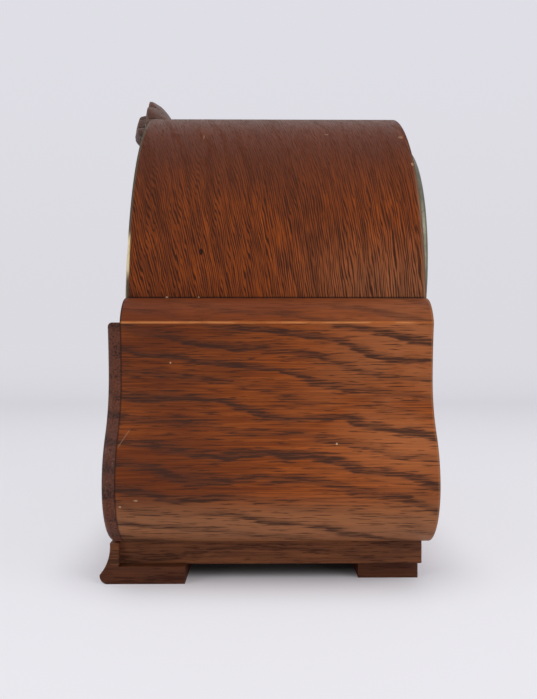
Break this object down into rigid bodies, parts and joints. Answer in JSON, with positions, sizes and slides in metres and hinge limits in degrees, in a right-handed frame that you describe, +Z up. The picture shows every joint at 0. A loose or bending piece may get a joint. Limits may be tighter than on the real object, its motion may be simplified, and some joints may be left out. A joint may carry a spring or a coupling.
{
  "type": "table clock",
  "caption": "Arched oak table clock with bombé side blocks, carved crest, hinged brass bezel and back door, and a working pendulum movement with toothed going train.",
  "frame": {"origin": "on the floor under the middle of the whole clock", "axes": "+Z up, -Y the way the dial faces, +X to the right as seen from the front"},
  "size_m": [0.256, 0.1456, 0.2279],
  "materials": {
    "oak_block": "satin stained oak, straight from the solid",
    "oak_veneer": "satin stained oak veneer",
    "oak_base": "dark stained oak",
    "board_wood": "plain unpolished board",
    "carved_wood": "dark stained carving",
    "dial_metal": "silvered dial with painted figures",
    "bezel_brass": "dull lacquered brass",
    "door_metal": "aged pressed sheet",
    "glass": "clear convex glass",
    "movement_brass": "brushed brass",
    "movement_steel": "plain steel",
    "hand_steel": "blackened steel"
  },
  "bodies": {
    "case": {"side_block_right": "oak_block", "side_block_left": "oak_block", "arch_hood": "oak_veneer", "front_board": "board_wood", "back_board": "board_wood", "front_panel": "oak_block", "plinth_board": "oak_base", "front_foot_blocks": "oak_base", "front_foot_toes": "oak_base", "rear_foot_blocks": "oak_base", "crest": "carved_wood", "dial_plate": "dial_metal", "dial_screws": "movement_steel", "bezel_hinge_leaf": "bezel_brass", "bezel_hinge_pin": "movement_steel", "door_hinge_leaf": "bezel_brass", "door_hinge_pin": "movement_steel", "turn_button_screw": "movement_steel", "front_plate": "movement_brass", "back_plate": "movement_brass", "plate_pillars": "movement_brass", "movement_posts": "movement_brass", "pillar_nuts": "movement_steel", "click_stud": "movement_steel", "click_spring": "movement_steel", "minute_stud": "movement_steel", "pallet_cock": "movement_brass", "suspension_spring": "movement_steel"},
    "bezel": {"bezel_ring": "bezel_brass", "bezel_glass": "glass", "glass_ring": "bezel_brass", "bezel_strap": "bezel_brass"},
    "door": {"back_door": "door_metal", "door_strap": "bezel_brass"},
    "button": {"turn_button": "bezel_brass"},
    "centre": {"centre_arbor": "movement_steel", "centre_wheel": "movement_brass", "cannon_pinion": "movement_brass", "minute_hand": "hand_steel", "hand_nut": "movement_brass"},
    "hour": {"hour_wheel": "movement_brass", "hour_hand": "hand_steel"},
    "minute_work": {"minute_wheel": "movement_brass"},
    "barrel": {"barrel_drum": "movement_brass", "barrel_cover": "movement_brass", "mainspring": "movement_steel"},
    "winding": {"winding_arbor": "movement_steel", "ratchet_wheel": "movement_steel"},
    "click": {"click": "movement_steel"},
    "intermediate": {"intermediate_arbor": "movement_steel", "intermediate_wheel": "movement_brass"},
    "third": {"third_arbor": "movement_steel", "third_wheel": "movement_brass"},
    "escape": {"escape_arbor": "movement_steel", "escape_wheel": "movement_brass"},
    "anchor": {"anchor": "movement_steel"},
    "pendulum": {"pendulum_rod": "movement_steel", "pendulum_bob": "movement_brass"},
    "nut": {"rating_nut": "movement_brass"}
  },
  "joints": [
    {"name": "bezel_open", "type": "hinge", "parent": "case", "child": "bezel", "pos_m": [-0.0852, -0.06405, 0.1213], "axis": [0, 0, -1], "range_deg": [0, 110]},
    {"name": "door_open", "type": "hinge", "parent": "case", "child": "door", "pos_m": [-0.0752, 0.06475, 0.134], "axis": [0, 0, 1], "range_deg": [0, 120]},
    {"name": "button_turn", "type": "hinge", "parent": "case", "child": "button", "pos_m": [0.0702, 0.063, 0.09777], "axis": [0, 1, 0], "range_deg": [0, 120]},
    {"name": "minute_turn", "type": "hinge", "parent": "case", "child": "centre", "pos_m": [0, -0.03, 0.108], "axis": [0, 1, 0], "continuous": true},
    {"name": "hour_turn", "type": "hinge", "parent": "case", "child": "hour", "pos_m": [0, -0.05, 0.108], "axis": [0, 1, 0], "continuous": true},
    {"name": "minute_work_turn", "type": "hinge", "parent": "case", "child": "minute_work", "pos_m": [-0.0144, -0.044, 0.108], "axis": [0, 1, 0], "continuous": true},
    {"name": "barrel_turn", "type": "hinge", "parent": "case", "child": "barrel", "pos_m": [0, -0.03, 0.07], "axis": [0, 1, 0], "continuous": true},
    {"name": "winding_turn", "type": "hinge", "parent": "case", "child": "winding", "pos_m": [0, -0.03, 0.07], "axis": [0, 1, 0], "continuous": true},
    {"name": "click_lift", "type": "hinge", "parent": "case", "child": "click", "pos_m": [0.008, -0.0044, 0.0826], "axis": [0, 1, 0], "range_deg": [0, 10]},
    {"name": "intermediate_turn", "type": "hinge", "parent": "case", "child": "intermediate", "pos_m": [0.01986, -0.025, 0.09809], "axis": [0, 1, 0], "continuous": true},
    {"name": "third_turn", "type": "hinge", "parent": "case", "child": "third", "pos_m": [-0.01344, -0.025, 0.12491], "axis": [0, 1, 0], "continuous": true},
    {"name": "escape_turn", "type": "hinge", "parent": "case", "child": "escape", "pos_m": [0, -0.025, 0.1376], "axis": [0, 1, 0], "continuous": true},
    {"name": "pendulum_swing", "type": "hinge", "parent": "case", "child": "pendulum", "pos_m": [0, 0.00405, 0.1543], "axis": [0, 1, 0], "range_deg": [-4, 4]},
    {"name": "anchor_swing", "type": "hinge", "parent": "case", "child": "anchor", "pos_m": [0, -0.01, 0.1543], "axis": [0, 1, 0], "range_deg": [-4, 4]},
    {"name": "nut_turn", "type": "hinge", "parent": "pendulum", "child": "nut", "pos_m": [0, 0.00405, 0.0315], "axis": [0, 0, 1], "continuous": true}
  ],
  "couplings": [
    {"joint": "hour_turn", "follows": "minute_turn", "ratio": 0.083333},
    {"joint": "minute_work_turn", "follows": "minute_turn", "ratio": -0.33333},
    {"joint": "intermediate_turn", "follows": "minute_turn", "ratio": -0.15625},
    {"joint": "barrel_turn", "follows": "minute_turn", "ratio": 0.020559},
    {"joint": "third_turn", "follows": "minute_turn", "ratio": -11},
    {"joint": "escape_turn", "follows": "minute_turn", "ratio": 110},
    {"joint": "anchor_swing", "follows": "pendulum_swing", "ratio": 1}
  ]
}
